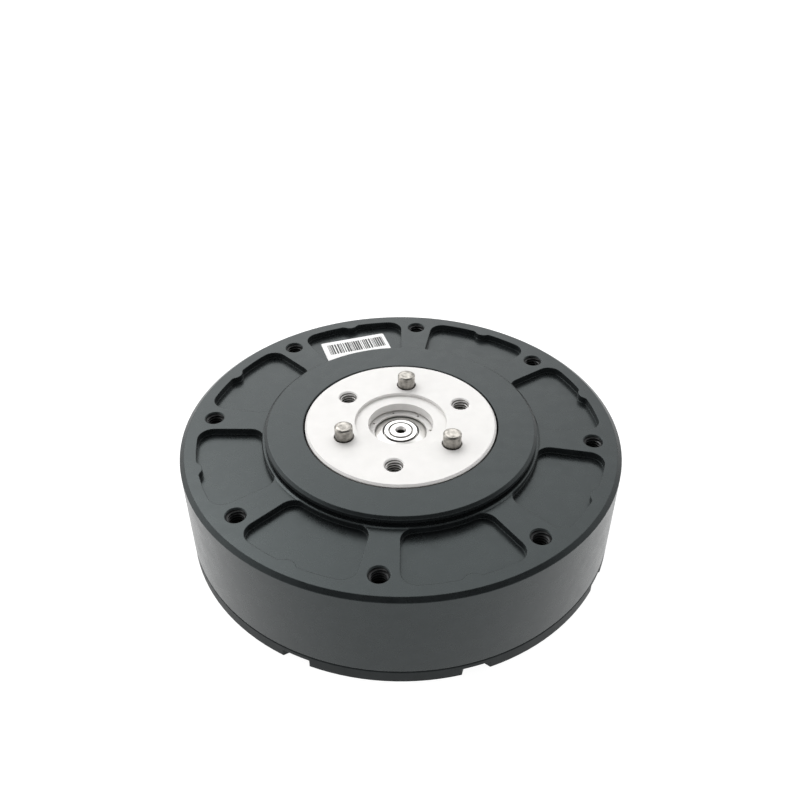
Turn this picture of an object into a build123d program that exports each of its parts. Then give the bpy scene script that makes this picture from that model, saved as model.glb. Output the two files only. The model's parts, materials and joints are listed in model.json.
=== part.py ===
from build123d import *
import math
import os

# Flat round gear motor. Millimetres, +Z up, origin at the centre of the rear face, axis along +Z.
# A ring of magnets turns round a wound stator. The stator's hollow middle holds one planetary stage,
# and the planet pins run on through the output flange and stand out of its face.

# Housing envelope
BODY_RADIUS = 49.0
RIM_Z = 24.3
SEAM_Z = 3.1
RIM_CHAMFER_WIDTH = 1.0
RIM_CHAMFER_HEIGHT = 0.7
SEAM_CHAMFER = 0.25
LEDGE_RADIUS = 30.8
LEDGE_SLOPE = 0.35
LEDGE_RISE = 0.12

# Front face: eight ribs with a threaded hole each, and a pocket between each two
RIB_COUNT = 8
RIB_PITCH = 360 / RIB_COUNT
FIRST_HOLE_ANGLE = 84.5
M4_RADIUS = 2.0
RIM_HOLE_CIRCLE = 42.9
RIM_HOLE_DEPTH = 5.0
HOLE_CHAMFER = 0.25
POCKET_HALF_ANGLE = 17.2
POCKET_OUTER = 45.4
POCKET_DEPTH = 1.6
POCKET_OUTER_CORNER = 3.3
POCKET_INNER_CORNER = 3.2
POCKET_NIB_CIRCLE = 46.6
POCKET_NIB_RADIUS = 2.2
POCKET_NIB_FILLET = 1.2

# Inside the front housing
SHELL_INNER = 44.5
SHELL_RECESS = 45.4
PLATE_UNDERSIDE = 19.5
RIM_UNDERSIDE = 18.2
RIM_PAD_INNER = 41.4
SPIGOT_SEAT_Z = 23.6
SPIGOT_PLAY = 0.05
CHANNEL_ANGLE = 197.0
CHANNEL_WIDTH = 7.0
CHANNEL_INNER = 33.1
CHANNEL_DROP = 43.3
CHANNEL_OUTER = 46.5
CHANNEL_TOP = 20.2

# Inner tube: carries the stator and the ring gear, and is pressed into the front housing
TUBE_OUTER = 28.0
TUBE_SHOULDER = 29.5
TUBE_LIP_BORE = 23.9
TUBE_END = 9.2
TUBE_TOP = 21.0

# Paper label
LABEL_LENGTH = 16.9
LABEL_WIDTH = 9.5
LABEL_THICKNESS = 0.08
LABEL_CORNER = 0.5
LABEL_CIRCLE = 36.95
LABEL_TURN = 0.9

# Bearing retainer, the raised ring round the output flange
RETAINER_INNER = 21.75
RETAINER_OUTER = 30.4
RETAINER_TOP = 26.5
RETAINER_UNDERCUT = 29.7
RETAINER_LIP_Z = 25.2
RETAINER_SPIGOT = 27.45
RETAINER_EDGE_WIDTH = 0.65
RETAINER_EDGE_HEIGHT = 0.5
RETAINER_INNER_EDGE = 0.15

# Output flange
FLANGE_RADIUS = 21.4
FLANGE_TOP = 26.8
FLANGE_BOTTOM = 17.4
FLANGE_CHAMFER = 0.45
COUNTERBORE_RADIUS = 10.3
COUNTERBORE_DEPTH = 0.8
FLANGE_BORE = 7.3
BORE_GROOVE_RADIUS = 7.75
BORE_GROOVE_TOP = 24.05
FLANGE_LIP_BORE = 5.7
OUTPUT_HOLE_CIRCLE = 15.0
OUTPUT_HOLE_DEPTH = 6.5
FIRST_PIN_ANGLE = 84.4
PLANET_COUNT = 3
PLANET_PITCH = 360 / PLANET_COUNT
PIN_ANGLES = [FIRST_PIN_ANGLE + PLANET_PITCH * k for k in range(PLANET_COUNT)]
OUTPUT_HOLE_ANGLES = [angle - PLANET_PITCH / 2 for angle in PIN_ANGLES]
PIN_RADIUS = 2.0
PIN_BODY_RADIUS = 2.25
PIN_NECK_RADIUS = 1.8
PIN_NECK_LOW = 26.2
PIN_NECK_HIGH = 26.7
PIN_TOP = 29.8
PIN_CHAMFER = 0.35
PIN_CROWN_RADIUS = 1.2
PIN_CROWN_HEIGHT = 0.1

# Planetary stage: the centre distance also sets the circle of the pins
MODULE = 0.7
PRESSURE_ANGLE = math.radians(20)
SUN_TEETH = 13
PLANET_TEETH = 26
RING_TEETH = SUN_TEETH + 2 * PLANET_TEETH
CENTRE_DISTANCE = MODULE * (SUN_TEETH + PLANET_TEETH) / 2
SUN_SHIFT = 0.3
PLANET_SHIFT = -0.3
TOOTH_PLAY = 0.05
ROOT_DEPTH = 1.25
RING_TIP_RADIUS = 22.0
RING_OUTER = 26.2
RING_LOW = 11.5
RING_HIGH = 17.5
PLANET_LOW = 12.1
PLANET_HIGH = 17.1
SUN_LOW = 11.6
SUN_HIGH = 17.2
SUN_COLLAR_RADIUS = 3.5
BUSH_OUTER = 3.0
BUSH_PLAY = 0.03
WASHER_OUTER = 3.6
WASHER_THICKNESS = 0.2
CARRIER_RADIUS = 20.5
CARRIER_BORE = 6.3
CARRIER_LOW = 10.2
CARRIER_HIGH = 11.8
POST_RADIUS = 3.0
POST_CIRCLE = 16.8
CARRIER_SCREW_TOP = 16.0

# Shaft and rotor
SHAFT_RADIUS = 2.5
SHAFT_LOW = 4.7
SHAFT_HIGH = 24.15
SHAFT_COLLAR_RADIUS = 3.2
CENTRE_HOLE_RADIUS = 1.3
CENTRE_DRILL_RADIUS = 0.85
CENTRE_HOLE_DEPTH = 2.0
CENTRE_HOLE_CONE = 0.6
SHAFT_TIP_CHAMFER = 0.12
ROTOR_RADIUS = 44.0
ROTOR_LOW = 6.7
ROTOR_DISC_TOP = 8.1
ROTOR_HIGH = 17.6
ROTOR_HUB_LOW = 8.4
ROTOR_HUB_TOP = 9.8
ROTOR_HUB_RADIUS = 9.8
ROTOR_DISH_RADIUS = 8.2
HUB_HOLE_RADIUS = 4.0
HUB_HOLE_CIRCLE = 24.0
HUB_HOLE_COUNT = 9
FLUX_RING_INNER = 42.2
MAGNET_COUNT = 42
MAGNET_INNER = 40.6
MAGNET_LOW = 9.0
MAGNET_HIGH = 17.4
MAGNET_SPAN = 8.0
ENCODER_MAGNET_RADIUS = 1.6
ENCODER_MAGNET_TOP = 6.7

# Stator
SLOT_COUNT = 36
STATOR_OUTER = 40.1
STATOR_LOW = 9.6
STATOR_HIGH = 17.4
YOKE_OUTER = 30.5
TOOTH_WIDTH = 2.2
SHOE_INNER = 39.2
SHOE_HALF_ANGLE = 3.9
INSULATOR_THICKNESS = 0.3
COIL_LOW = 8.5
COIL_HIGH = 18.5
COIL_INNER = 31.0
COIL_OUTER = 38.8
COIL_WIDTH = 4.6
COIL_CORNER = 1.1
COIL_PLAY = 0.05
WIRE_RADIUS = 0.6
WIRE_BEND = 1.3
WIRE_START = 35.0
WIRE_DROP = 45.5
WIRE_END = 40.0
WIRE_OFFSETS = [-1.8, 0.0, 1.8]

# Rear: bearing plate, circuit board, cover
PLATE_RADIUS = 45.35
PLATE_LOW = 5.0
PLATE_HIGH = 6.3
PLATE_BOSS = 7.4
PLATE_BOSS_LOW = 4.6
PLATE_BOSS_TOP = 8.15
PLATE_LIP_LOW = 7.95
PLATE_LIP_BORE = 4.0
WINDOW_COUNT = 6
WINDOW_INNER = 12.0
WINDOW_OUTER = 36.0
WINDOW_HALF_ANGLE = 22.0
WINDOW_CORNER = 2.0
SKIRT_INNER = 44.2
WIRE_SLOT_INNER = 34.5
WIRE_SLOT_WIDTH = 8.0
SPRING_INNER = 4.7
SPRING_OUTER = 5.4
COVER_FLOOR = 2.0
COVER_RECESS_DEPTH = 0.6
COVER_RECESS_INNER = 14.0
COVER_RECESS_OUTER = 40.0
COVER_EDGE = 0.1
NOTCH_COUNT = 8
NOTCH_PITCH = 43.4
FIRST_NOTCH_ANGLE = -115.5
NOTCH_WIDTH = 6.3
NOTCH_FLARE = math.radians(35)
NOTCH_HEIGHT = 1.9
NOTCH_FLOOR_RADIUS = 45.8
NOTCH_ANGLES = [FIRST_NOTCH_ANGLE + NOTCH_PITCH * k for k in range(NOTCH_COUNT)]
WIDE_LAND_ANGLE = FIRST_NOTCH_ANGLE - (360 - NOTCH_PITCH * (NOTCH_COUNT - 1)) / 2
LAND_ANGLES = [angle + NOTCH_PITCH / 2 for angle in NOTCH_ANGLES[:-1]] + [WIDE_LAND_ANGLE]
COVER_SCREW_CIRCLE = 46.6
M2_RADIUS = 1.0
M2_HEAD_RADIUS = 1.9
M2_HEAD_DEPTH = 0.9
COVER_SCREW_TOP = 7.6
SCREW_END_PLAY = 0.4
SCREW_SOCKET_RADIUS = 0.75
SCREW_SOCKET_DEPTH = 0.7
BOARD_RADIUS = 41.5
BOARD_LOW = 2.8
BOARD_HIGH = 3.8
BOARD_SCREW_CIRCLE = 39.0
BOARD_SCREW_COUNT = 6
BOARD_SCREW_ANGLES = [WIDE_LAND_ANGLE + 30 + 360 / BOARD_SCREW_COUNT * k for k in range(BOARD_SCREW_COUNT)]
BOARD_SCREW_LOW = 1.2
BOARD_SCREW_HEAD = 0.9
STANDOFF_RADIUS = 2.2
SOCKET_CIRCLE = 31.0
SOCKET_LOW = 0.3
SOCKET_WALL = 0.7
SOCKET_PLAY = 0.2
SIGNAL_SOCKET_TURN = 28.0
POWER_SOCKET_SIZE = (16.0, 8.0)
SIGNAL_SOCKET_SIZE = (8.0, 5.0)
CONTACT_LOW = 0.7
CONTACT_MARGIN = 3.0
TRANSISTOR_CIRCLE = 29.0
CAPACITOR_CIRCLE = 20.0
CAPACITOR_RADIUS = 2.4
CAPACITOR_HEIGHT = 2.2
CHIP_CIRCLE = 13.0
CHIP_HEIGHT = 0.9

# Ball bearings: radii of bore, lands and outside, then heights, ball radius and number of balls
OUTPUT_BEARING = {"bore": 20.0, "inner_land": 21.35, "outer_land": 23.6, "outside": 25.0,
                  "low": 17.9, "high": 23.9, "ball": 1.5, "count": 30}
FRONT_BEARING = {"bore": 2.5, "inner_land": 3.85, "outer_land": 5.6, "outside": 7.0,
                 "low": 18.3, "high": 23.3, "ball": 1.1, "count": 8}
REAR_BEARING = {"bore": 2.5, "inner_land": 3.4, "outer_land": 4.6, "outside": 5.5,
                "low": 4.6, "high": 7.6, "ball": 0.75, "count": 10}
GROOVE_PLAY = 0.04
CAGE_PLAY = 0.06
SEAL_LOW = 23.2
SEAL_HIGH = 23.6
SEAL_PLAY = 0.1
SHIELD_INNER = 4.15
SHIELD_BEND = 5.8
SHIELD_OUTER = 6.1
SHIELD_LOW = 22.9
SHIELD_THICKNESS = 0.25
SHIELD_RISE = 0.7
LOCK_RING_INNER = 5.95
LOCK_RING_TOP = 23.75
LOCK_HOLE_COUNT = 7
LOCK_HOLE_RADIUS = 0.28
LOCK_HOLE_DEPTH = 0.3
LOCK_HOLE_CIRCLE = 6.75
FIRST_LOCK_HOLE_ANGLE = 53.6
SHIM_OUTER = 3.67
SHIM_MOUTH = 2.85
SHIM_STEP = 23.6
SHIM_TOP = 24.05
SHIM_PLAY = 0.02


# Basic shapes

def disc(radius, low, high):
    """Solid cylinder about Z between two heights."""
    return Pos(0, 0, low) * Cylinder(radius, high - low, align=(Align.CENTER, Align.CENTER, Align.MIN))


def tube(outer, inner, low, high):
    """Hollow cylinder about Z between two heights."""
    return disc(outer, low, high) - disc(inner, low, high)


def polar(radius, degrees, height=0.0):
    """Place at a radius and an angle about Z, its X axis pointing outwards."""
    angle = math.radians(degrees)
    return Location((radius * math.cos(angle), radius * math.sin(angle), height), (0, 0, degrees))


def block(length, width, low, high):
    """Box centred on Z between two heights, its length along X."""
    return Pos(0, 0, low) * Box(length, width, high - low, align=(Align.CENTER, Align.CENTER, Align.MIN))


def radial_block(inner, outer, width, low, high):
    """Box along the X axis from one radius to another, between two heights."""
    return Pos((inner + outer) / 2, 0, 0) * block(outer - inner, width, low, high)


def turned(*corners):
    """Solid of revolution about Z from (radius, height) corners."""
    outline = Polyline(*[(radius, 0, height) for radius, height in corners], close=True)
    return revolve(make_face(outline), Axis.Z, 360)


def at_each(shape, radius, angles):
    """Copies of a shape at a radius and at each of the angles."""
    return [polar(radius, angle) * shape for angle in angles]


def evenly(count, first=0.0):
    """Angles of evenly spaced copies."""
    return [first + 360 / count * k for k in range(count)]


def sector(inner, outer, half_angle):
    """Flat ring sector centred on the X axis."""
    low, high = math.radians(-half_angle), math.radians(half_angle)

    def point(radius, angle):
        return (radius * math.cos(angle), radius * math.sin(angle))

    edges = [
        ThreePointArc(point(inner, low), point(inner, 0), point(inner, high)),
        Line(point(inner, high), point(outer, high)),
        ThreePointArc(point(outer, high), point(outer, 0), point(outer, low)),
        Line(point(outer, low), point(inner, low)),
    ]
    return make_face(edges)


def threaded_hole(radius, top, depth):
    """Cutter for a blind hole with a chamfered mouth and a drilled point."""
    mouth = radius + HOLE_CHAMFER
    bottom = top - depth
    point_depth = radius * 0.35
    return turned((0, bottom - point_depth), (radius, bottom), (radius, top - HOLE_CHAMFER),
                  (mouth, top), (mouth, top + 1), (0, top + 1))


# Front housing

def pocket():
    """Cutter for one front pocket, with a round nib that points inwards half way along its outer wall."""
    shape = extrude(sector(LEDGE_RADIUS, POCKET_OUTER, POCKET_HALF_ANGLE), POCKET_DEPTH)
    corners = shape.edges().filter_by(Axis.Z).sort_by(lambda edge: edge.center().X**2 + edge.center().Y**2)
    shape = fillet(corners[2:], POCKET_OUTER_CORNER)
    corners = shape.edges().filter_by(Axis.Z).sort_by(lambda edge: edge.center().X**2 + edge.center().Y**2)
    shape = fillet(corners[:2], POCKET_INNER_CORNER)
    shape -= Pos(POCKET_NIB_CIRCLE, 0, 0) * disc(POCKET_NIB_RADIUS, 0, POCKET_DEPTH)
    feet = shape.edges().filter_by(Axis.Z).sort_by(lambda edge: abs(edge.center().Y))[:2]
    return Pos(0, 0, RIM_Z - POCKET_DEPTH) * fillet(feet, POCKET_NIB_FILLET)


def wire_channel():
    """Cutter for the channel that leads the phase wires out over the rotor and down the wall."""
    over_rotor = radial_block(CHANNEL_INNER, CHANNEL_OUTER, CHANNEL_WIDTH, RIM_UNDERSIDE, CHANNEL_TOP)
    down_wall = radial_block(CHANNEL_DROP, CHANNEL_OUTER, CHANNEL_WIDTH, SEAM_Z, CHANNEL_TOP)
    return [polar(0, CHANNEL_ANGLE) * over_rotor, polar(0, CHANNEL_ANGLE) * down_wall]


def front_housing():
    """Outer wall and ribbed front plate, bored for the inner tube and the output bearing."""
    spigot_bore = RETAINER_SPIGOT + SPIGOT_PLAY
    body = turned(
        (SHELL_RECESS, SEAM_Z), (BODY_RADIUS - SEAM_CHAMFER, SEAM_Z), (BODY_RADIUS, SEAM_Z + SEAM_CHAMFER),
        (BODY_RADIUS, RIM_Z - RIM_CHAMFER_HEIGHT), (BODY_RADIUS - RIM_CHAMFER_WIDTH, RIM_Z),
        (LEDGE_RADIUS + LEDGE_SLOPE, RIM_Z), (LEDGE_RADIUS, RIM_Z + LEDGE_RISE),
        (spigot_bore, RIM_Z + LEDGE_RISE), (spigot_bore, SPIGOT_SEAT_Z),
        (OUTPUT_BEARING["outside"], SPIGOT_SEAT_Z), (OUTPUT_BEARING["outside"], TUBE_TOP),
        (TUBE_SHOULDER, TUBE_TOP), (TUBE_SHOULDER, PLATE_UNDERSIDE), (RIM_PAD_INNER, PLATE_UNDERSIDE),
        (RIM_PAD_INNER, RIM_UNDERSIDE), (SHELL_INNER, RIM_UNDERSIDE), (SHELL_INNER, PLATE_HIGH),
        (SHELL_RECESS, PLATE_HIGH))
    hole_angles = evenly(RIB_COUNT, FIRST_HOLE_ANGLE)
    body -= at_each(threaded_hole(M4_RADIUS, RIM_Z, RIM_HOLE_DEPTH), RIM_HOLE_CIRCLE, hole_angles)
    body -= at_each(pocket(), 0, evenly(RIB_COUNT, FIRST_HOLE_ANGLE + RIB_PITCH / 2))
    screw_hole = disc(M2_RADIUS, SEAM_Z, COVER_SCREW_TOP + SCREW_END_PLAY)
    body -= at_each(screw_hole, COVER_SCREW_CIRCLE, LAND_ANGLES)
    body -= wire_channel()
    return body


def inner_tube():
    """Tube with a shoulder for the stator, a bore for the ring gear and a seat for the output bearing."""
    return turned(
        (TUBE_LIP_BORE, OUTPUT_BEARING["low"]), (TUBE_LIP_BORE, RING_HIGH), (RING_OUTER, RING_HIGH),
        (RING_OUTER, TUBE_END), (TUBE_OUTER, TUBE_END), (TUBE_OUTER, STATOR_HIGH),
        (TUBE_SHOULDER, STATOR_HIGH), (TUBE_SHOULDER, TUBE_TOP), (OUTPUT_BEARING["outside"], TUBE_TOP),
        (OUTPUT_BEARING["outside"], OUTPUT_BEARING["low"]))


def bearing_retainer():
    """Raised front ring that holds the outer race of the output bearing."""
    return turned(
        (RETAINER_INNER, OUTPUT_BEARING["high"]), (RETAINER_SPIGOT, OUTPUT_BEARING["high"]),
        (RETAINER_SPIGOT, RIM_Z + LEDGE_RISE), (RETAINER_UNDERCUT, RIM_Z + LEDGE_RISE),
        (RETAINER_UNDERCUT, RETAINER_LIP_Z), (RETAINER_OUTER, RETAINER_LIP_Z),
        (RETAINER_OUTER, RETAINER_TOP - RETAINER_EDGE_HEIGHT),
        (RETAINER_OUTER - RETAINER_EDGE_WIDTH, RETAINER_TOP),
        (RETAINER_INNER + RETAINER_INNER_EDGE, RETAINER_TOP),
        (RETAINER_INNER, RETAINER_TOP - RETAINER_INNER_EDGE))


def barcode_label():
    """Paper label on the floor of the pocket after the first rim hole."""
    label = extrude(RectangleRounded(LABEL_WIDTH, LABEL_LENGTH, LABEL_CORNER), LABEL_THICKNESS)
    middle_angle = FIRST_HOLE_ANGLE + RIB_PITCH / 2 + LABEL_TURN
    return polar(LABEL_CIRCLE, middle_angle, RIM_Z - POCKET_DEPTH) * label


# Ball bearings

def pitch_radius(bearing):
    """Radius of the circle through the ball centres."""
    return (bearing["inner_land"] + bearing["outer_land"]) / 2


def middle(bearing):
    """Height of the ball centres."""
    return (bearing["low"] + bearing["high"]) / 2


def groove(bearing):
    """Cutter for the ball groove."""
    return Pos(0, 0, middle(bearing)) * Torus(pitch_radius(bearing), bearing["ball"] + GROOVE_PLAY)


def inner_race(bearing):
    """Inner race with its ball groove."""
    return tube(bearing["inner_land"], bearing["bore"], bearing["low"], bearing["high"]) - groove(bearing)


def outer_race(bearing):
    """Outer race with its ball groove."""
    return tube(bearing["outside"], bearing["outer_land"], bearing["low"], bearing["high"]) - groove(bearing)


def balls(bearing):
    """The balls, evenly spaced on the pitch circle."""
    ball = Pos(0, 0, middle(bearing)) * Sphere(bearing["ball"])
    return at_each(ball, pitch_radius(bearing), evenly(bearing["count"]))


def ball_cage(bearing):
    """Ribbon cage on the pitch circle with a round hole for each ball."""
    half_thickness = (bearing["outer_land"] - bearing["inner_land"]) / 5
    half_height = bearing["ball"] * 1.25
    ribbon = tube(pitch_radius(bearing) + half_thickness, pitch_radius(bearing) - half_thickness,
                  middle(bearing) - half_height, middle(bearing) + half_height)
    hole = Rot(0, 90, 0) * Cylinder(bearing["ball"] + CAGE_PLAY, 4 * half_thickness)
    hole = Pos(0, 0, middle(bearing)) * hole
    return ribbon - at_each(hole, pitch_radius(bearing), evenly(bearing["count"]))


def output_bearing_seal():
    """Rubber seal ring near the front of the output bearing."""
    return tube(OUTPUT_BEARING["outer_land"], OUTPUT_BEARING["inner_land"] + SEAL_PLAY, SEAL_LOW, SEAL_HIGH)


def front_bearing_outer_race():
    """Outer race of the centre bearing, with a seat for its shield."""
    return outer_race(FRONT_BEARING) - disc(SHIELD_OUTER, SHIELD_LOW, FRONT_BEARING["high"])


def front_bearing_shield():
    """Dished metal shield over the balls of the centre bearing, highest at its inner edge."""
    top = SHIELD_LOW + SHIELD_THICKNESS
    return turned(
        (SHIELD_BEND, SHIELD_LOW), (SHIELD_OUTER, SHIELD_LOW), (SHIELD_OUTER, top), (SHIELD_BEND, top),
        (SHIELD_INNER, top + SHIELD_RISE), (SHIELD_INNER, SHIELD_LOW + SHIELD_RISE))


def bearing_lock_ring():
    """Ring over the centre bearing with seven small spanner holes."""
    ring = tube(FLANGE_BORE, LOCK_RING_INNER, FRONT_BEARING["high"], LOCK_RING_TOP)
    hole = disc(LOCK_HOLE_RADIUS, LOCK_RING_TOP - LOCK_HOLE_DEPTH, LOCK_RING_TOP)
    return ring - at_each(hole, LOCK_HOLE_CIRCLE, evenly(LOCK_HOLE_COUNT, FIRST_LOCK_HOLE_ANGLE))


# Gears

def involute(radius, base):
    """Polar angle of an involute between its base circle and a radius."""
    roll = math.sqrt(max((radius / base) ** 2 - 1, 0))
    return roll - math.atan(roll)


def gear_face(teeth, shift, play, tip, root):
    """Gear outline with a tooth on the X axis. Its teeth are thinner by the play, or thicker if negative."""
    pitch = MODULE * teeth / 2
    base = pitch * math.cos(PRESSURE_ANGLE)
    start = max(root, base)
    thickness = MODULE * (math.pi / 2 + 2 * shift * math.tan(PRESSURE_ANGLE)) - play

    def half_angle(radius):
        return thickness / (2 * pitch) + involute(pitch, base) - involute(radius, base)

    def point(radius, angle):
        return (radius * math.cos(angle), radius * math.sin(angle))

    step = 2 * math.pi / teeth
    mid = (start + tip) / 2
    edges = []
    for k in range(teeth):
        centre = k * step
        rising = [point(radius, centre - half_angle(radius)) for radius in (start, mid, tip)]
        falling = [point(radius, centre + half_angle(radius)) for radius in (tip, mid, start)]
        root_angle = half_angle(start)
        foot_in = point(root, centre - root_angle)
        foot_out = point(root, centre + root_angle)
        next_foot = point(root, centre + step - root_angle)
        if root < start:
            edges.append(Line(foot_in, rising[0]))
        edges.append(ThreePointArc(*rising))
        edges.append(ThreePointArc(rising[-1], point(tip, centre), falling[0]))
        edges.append(ThreePointArc(*falling))
        if root < start:
            edges.append(Line(falling[-1], foot_out))
        edges.append(ThreePointArc(foot_out, point(root, centre + step / 2), next_foot))
    return make_face(edges)


def sun_gear():
    """Sun gear with a tooth facing the first planet, and a collar at each end."""
    pitch = MODULE * SUN_TEETH / 2
    root = pitch - MODULE * (ROOT_DEPTH - SUN_SHIFT)
    face = gear_face(SUN_TEETH, SUN_SHIFT, TOOTH_PLAY, pitch + MODULE * (1 + SUN_SHIFT), root)
    teeth = Pos(0, 0, SUN_LOW) * Rot(0, 0, FIRST_PIN_ANGLE) * extrude(face, SUN_HIGH - SUN_LOW)
    collars = disc(root, ROTOR_HUB_TOP, SUN_LOW) + disc(SUN_COLLAR_RADIUS, SUN_HIGH, FRONT_BEARING["low"])
    return teeth + collars - disc(SHAFT_RADIUS, ROTOR_HUB_TOP, FRONT_BEARING["low"])


def planet_turn(pin_angle):
    """Angle of a planet's first tooth, so that it meshes with the sun and the ring at that pin."""
    half_tooth = 180 / PLANET_TEETH
    round_sun = (pin_angle - FIRST_PIN_ANGLE) * (1 + SUN_TEETH / PLANET_TEETH)
    return FIRST_PIN_ANGLE + half_tooth + round_sun


def planet_place(pin_angle):
    """Place of a planet's axis."""
    angle = math.radians(pin_angle)
    return Pos(CENTRE_DISTANCE * math.cos(angle), CENTRE_DISTANCE * math.sin(angle), 0)


def planet_gear(pin_angle):
    """Planet gear at one of the pins."""
    pitch = MODULE * PLANET_TEETH / 2
    face = gear_face(PLANET_TEETH, PLANET_SHIFT, TOOTH_PLAY, pitch + MODULE * (1 + PLANET_SHIFT),
                     pitch - MODULE * (ROOT_DEPTH - PLANET_SHIFT))
    gear = Pos(0, 0, PLANET_LOW) * extrude(face, PLANET_HIGH - PLANET_LOW)
    gear -= disc(BUSH_OUTER, PLANET_LOW, PLANET_HIGH)
    return planet_place(pin_angle) * Rot(0, 0, planet_turn(pin_angle)) * gear


def planet_bush(pin_angle):
    """Bronze bush inside one planet gear."""
    return planet_place(pin_angle) * tube(BUSH_OUTER, PIN_BODY_RADIUS + BUSH_PLAY, PLANET_LOW, PLANET_HIGH)


def planet_washers():
    """Thrust washers under and over each planet gear."""
    bore = PIN_BODY_RADIUS + BUSH_PLAY
    low = tube(WASHER_OUTER, bore, CARRIER_HIGH, CARRIER_HIGH + WASHER_THICKNESS)
    high = tube(WASHER_OUTER, bore, FLANGE_BOTTOM - WASHER_THICKNESS, FLANGE_BOTTOM)
    return at_each(low, CENTRE_DISTANCE, PIN_ANGLES) + at_each(high, CENTRE_DISTANCE, PIN_ANGLES)


def ring_gear():
    """Internal gear with a tooth facing the first planet."""
    pitch = MODULE * RING_TEETH / 2
    spaces = gear_face(RING_TEETH, PLANET_SHIFT, -TOOTH_PLAY, pitch + MODULE * (ROOT_DEPTH + PLANET_SHIFT),
                       RING_TIP_RADIUS)
    turn = FIRST_PIN_ANGLE + 180 / RING_TEETH
    cutter = Pos(0, 0, RING_LOW) * Rot(0, 0, turn) * extrude(spaces, RING_HIGH - RING_LOW)
    return disc(RING_OUTER, RING_LOW, RING_HIGH) - cutter


# Output side

def output_flange():
    """Output flange with the planet posts behind it."""
    body = turned(
        (FLANGE_LIP_BORE, FLANGE_BOTTOM), (OUTPUT_BEARING["bore"], FLANGE_BOTTOM),
        (OUTPUT_BEARING["bore"], OUTPUT_BEARING["high"]), (FLANGE_RADIUS, OUTPUT_BEARING["high"]),
        (FLANGE_RADIUS, FLANGE_TOP - FLANGE_CHAMFER), (FLANGE_RADIUS - FLANGE_CHAMFER, FLANGE_TOP),
        (COUNTERBORE_RADIUS, FLANGE_TOP), (COUNTERBORE_RADIUS, FLANGE_TOP - COUNTERBORE_DEPTH),
        (FLANGE_BORE, FLANGE_TOP - COUNTERBORE_DEPTH), (FLANGE_BORE, BORE_GROOVE_TOP),
        (BORE_GROOVE_RADIUS, BORE_GROOVE_TOP), (BORE_GROOVE_RADIUS, LOCK_RING_TOP),
        (FLANGE_BORE, LOCK_RING_TOP), (FLANGE_BORE, FRONT_BEARING["high"]),
        (FRONT_BEARING["outside"], FRONT_BEARING["high"]), (FRONT_BEARING["outside"], FRONT_BEARING["low"]),
        (FLANGE_LIP_BORE, FRONT_BEARING["low"]))
    body += at_each(disc(POST_RADIUS, CARRIER_HIGH, FLANGE_BOTTOM), POST_CIRCLE, OUTPUT_HOLE_ANGLES)
    hole = threaded_hole(M4_RADIUS, FLANGE_TOP, OUTPUT_HOLE_DEPTH)
    body -= at_each(hole, OUTPUT_HOLE_CIRCLE, OUTPUT_HOLE_ANGLES)
    body -= at_each(disc(PIN_BODY_RADIUS, FLANGE_BOTTOM, FLANGE_TOP), CENTRE_DISTANCE, PIN_ANGLES)
    screw_hole = disc(M2_RADIUS, CARRIER_HIGH, CARRIER_SCREW_TOP + SCREW_END_PLAY / 2)
    body -= at_each(screw_hole, POST_CIRCLE, OUTPUT_HOLE_ANGLES)
    return body


def drive_pins():
    """Planet pins that run through the flange. Each is necked at its face and ends in a shallow crown."""
    pin = turned(
        (0, CARRIER_LOW), (PIN_BODY_RADIUS, CARRIER_LOW), (PIN_BODY_RADIUS, PIN_NECK_LOW),
        (PIN_NECK_RADIUS, PIN_NECK_LOW), (PIN_NECK_RADIUS, PIN_NECK_HIGH), (PIN_RADIUS, PIN_NECK_HIGH),
        (PIN_RADIUS, PIN_TOP - PIN_CHAMFER),
        (PIN_RADIUS - PIN_CHAMFER, PIN_TOP - PIN_CROWN_HEIGHT), (PIN_CROWN_RADIUS, PIN_TOP), (0, PIN_TOP))
    return at_each(pin, CENTRE_DISTANCE, PIN_ANGLES)


def carrier_plate():
    """Rear plate of the planet carrier."""
    plate = tube(CARRIER_RADIUS, CARRIER_BORE, CARRIER_LOW, CARRIER_HIGH)
    plate -= at_each(disc(PIN_BODY_RADIUS, CARRIER_LOW, CARRIER_HIGH), CENTRE_DISTANCE, PIN_ANGLES)
    plate -= at_each(countersink(CARRIER_LOW, CARRIER_HIGH), POST_CIRCLE, OUTPUT_HOLE_ANGLES)
    return plate


def countersink(low, high):
    """Cutter for an M2 countersunk hole that opens downwards."""
    return turned((0, low), (M2_HEAD_RADIUS, low), (M2_RADIUS, low + M2_HEAD_DEPTH), (M2_RADIUS, high),
                  (0, high))


def countersunk_screw(low, high):
    """M2 countersunk screw with its head at the bottom and a hexagon socket."""
    screw = turned((0, low), (M2_HEAD_RADIUS, low), (M2_RADIUS, low + M2_HEAD_DEPTH), (M2_RADIUS, high),
                   (0, high))
    socket = Pos(0, 0, low) * extrude(RegularPolygon(SCREW_SOCKET_RADIUS, 6), SCREW_SOCKET_DEPTH)
    return screw - socket


def carrier_screws():
    """Countersunk screws that hold the carrier plate to the flange's posts."""
    return at_each(countersunk_screw(CARRIER_LOW, CARRIER_SCREW_TOP), POST_CIRCLE, OUTPUT_HOLE_ANGLES)


# Rotor

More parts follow.
